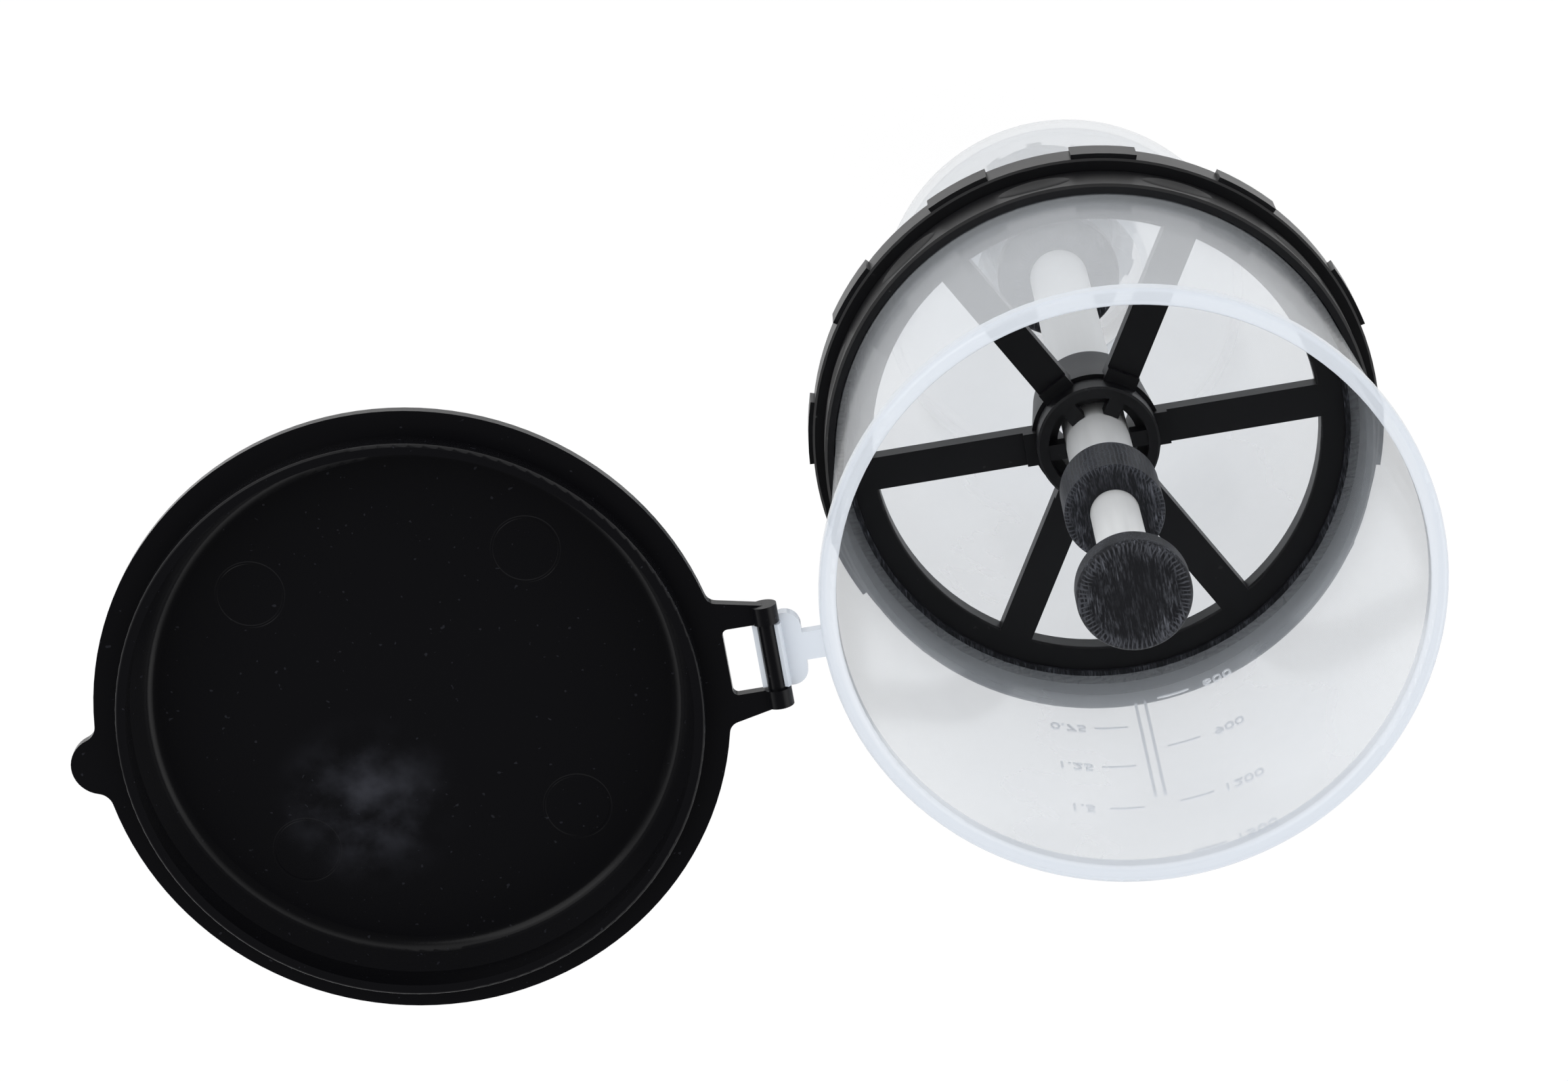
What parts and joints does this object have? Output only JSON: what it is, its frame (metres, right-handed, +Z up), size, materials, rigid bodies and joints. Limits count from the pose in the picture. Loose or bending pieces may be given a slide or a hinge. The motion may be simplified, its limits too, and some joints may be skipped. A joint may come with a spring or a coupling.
{
  "type": "measuring funnel",
  "caption": "Lidded translucent measuring funnel: a measuring cup and tapering hopper held by a lock ring, with a spoked guide and a sliding stem that shuts the outlet.",
  "frame": {"origin": "on the funnel's axis, at the underside of the outlet nut, where the spout's free length starts", "axes": "+Z up the funnel's axis towards the mouth; the lid hinge is on the -X side and its axis runs along Y"},
  "size_m": [0.2896, 0.132, 0.338],
  "materials": {
    "frosted_plastic": "frosted translucent polypropylene",
    "satin_black": "satin",
    "lid_black": "semi-gloss",
    "black_rubber": "matte",
    "white_plastic": "satin"
  },
  "bodies": {
    "funnel": {"measuring_cup": "frosted_plastic", "hopper": "frosted_plastic", "valve_chamber": "frosted_plastic", "guide_spider": "satin_black", "upper_gasket": "black_rubber", "lower_gasket": "black_rubber", "outlet_seal": "black_rubber", "spout": "satin_black", "spider_hub": "satin_black"},
    "ring": {"lock_ring": "satin_black"},
    "nut": {"outlet_nut": "satin_black"},
    "cover": {"lid": "lid_black"},
    "stem": {"valve_tube": "white_plastic", "tube_collar": "black_rubber", "rod_bush": "white_plastic", "main_stopper": "black_rubber", "stopper_retainer": "white_plastic"},
    "plunger": {"plunger_rod": "white_plastic", "rod_stop": "white_plastic", "plunger_knob": "black_rubber"}
  },
  "joints": [
    {"name": "lid_hinge", "type": "hinge", "parent": "funnel", "child": "cover", "pos_m": [-0.0757, 0, 0.2961], "axis": [0, 1, 0], "range_deg": [0, 180]},
    {"name": "stem_slide", "type": "slide", "parent": "funnel", "child": "stem", "axis": [0, 0, 1], "range_m": [-0.031, 0]},
    {"name": "plunger_slide", "type": "slide", "parent": "stem", "child": "plunger", "axis": [0, 0, 1], "range_m": [-0.044, 0]},
    {"name": "lock_ring_turn", "type": "hinge", "parent": "funnel", "child": "ring", "pos_m": [0, 0, 0.19], "axis": [0, 0, 1], "range_deg": [0, 60]},
    {"name": "outlet_nut_turn", "type": "hinge", "parent": "funnel", "child": "nut", "pos_m": [0, 0, 0.01], "axis": [0, 0, 1], "continuous": true}
  ]
}
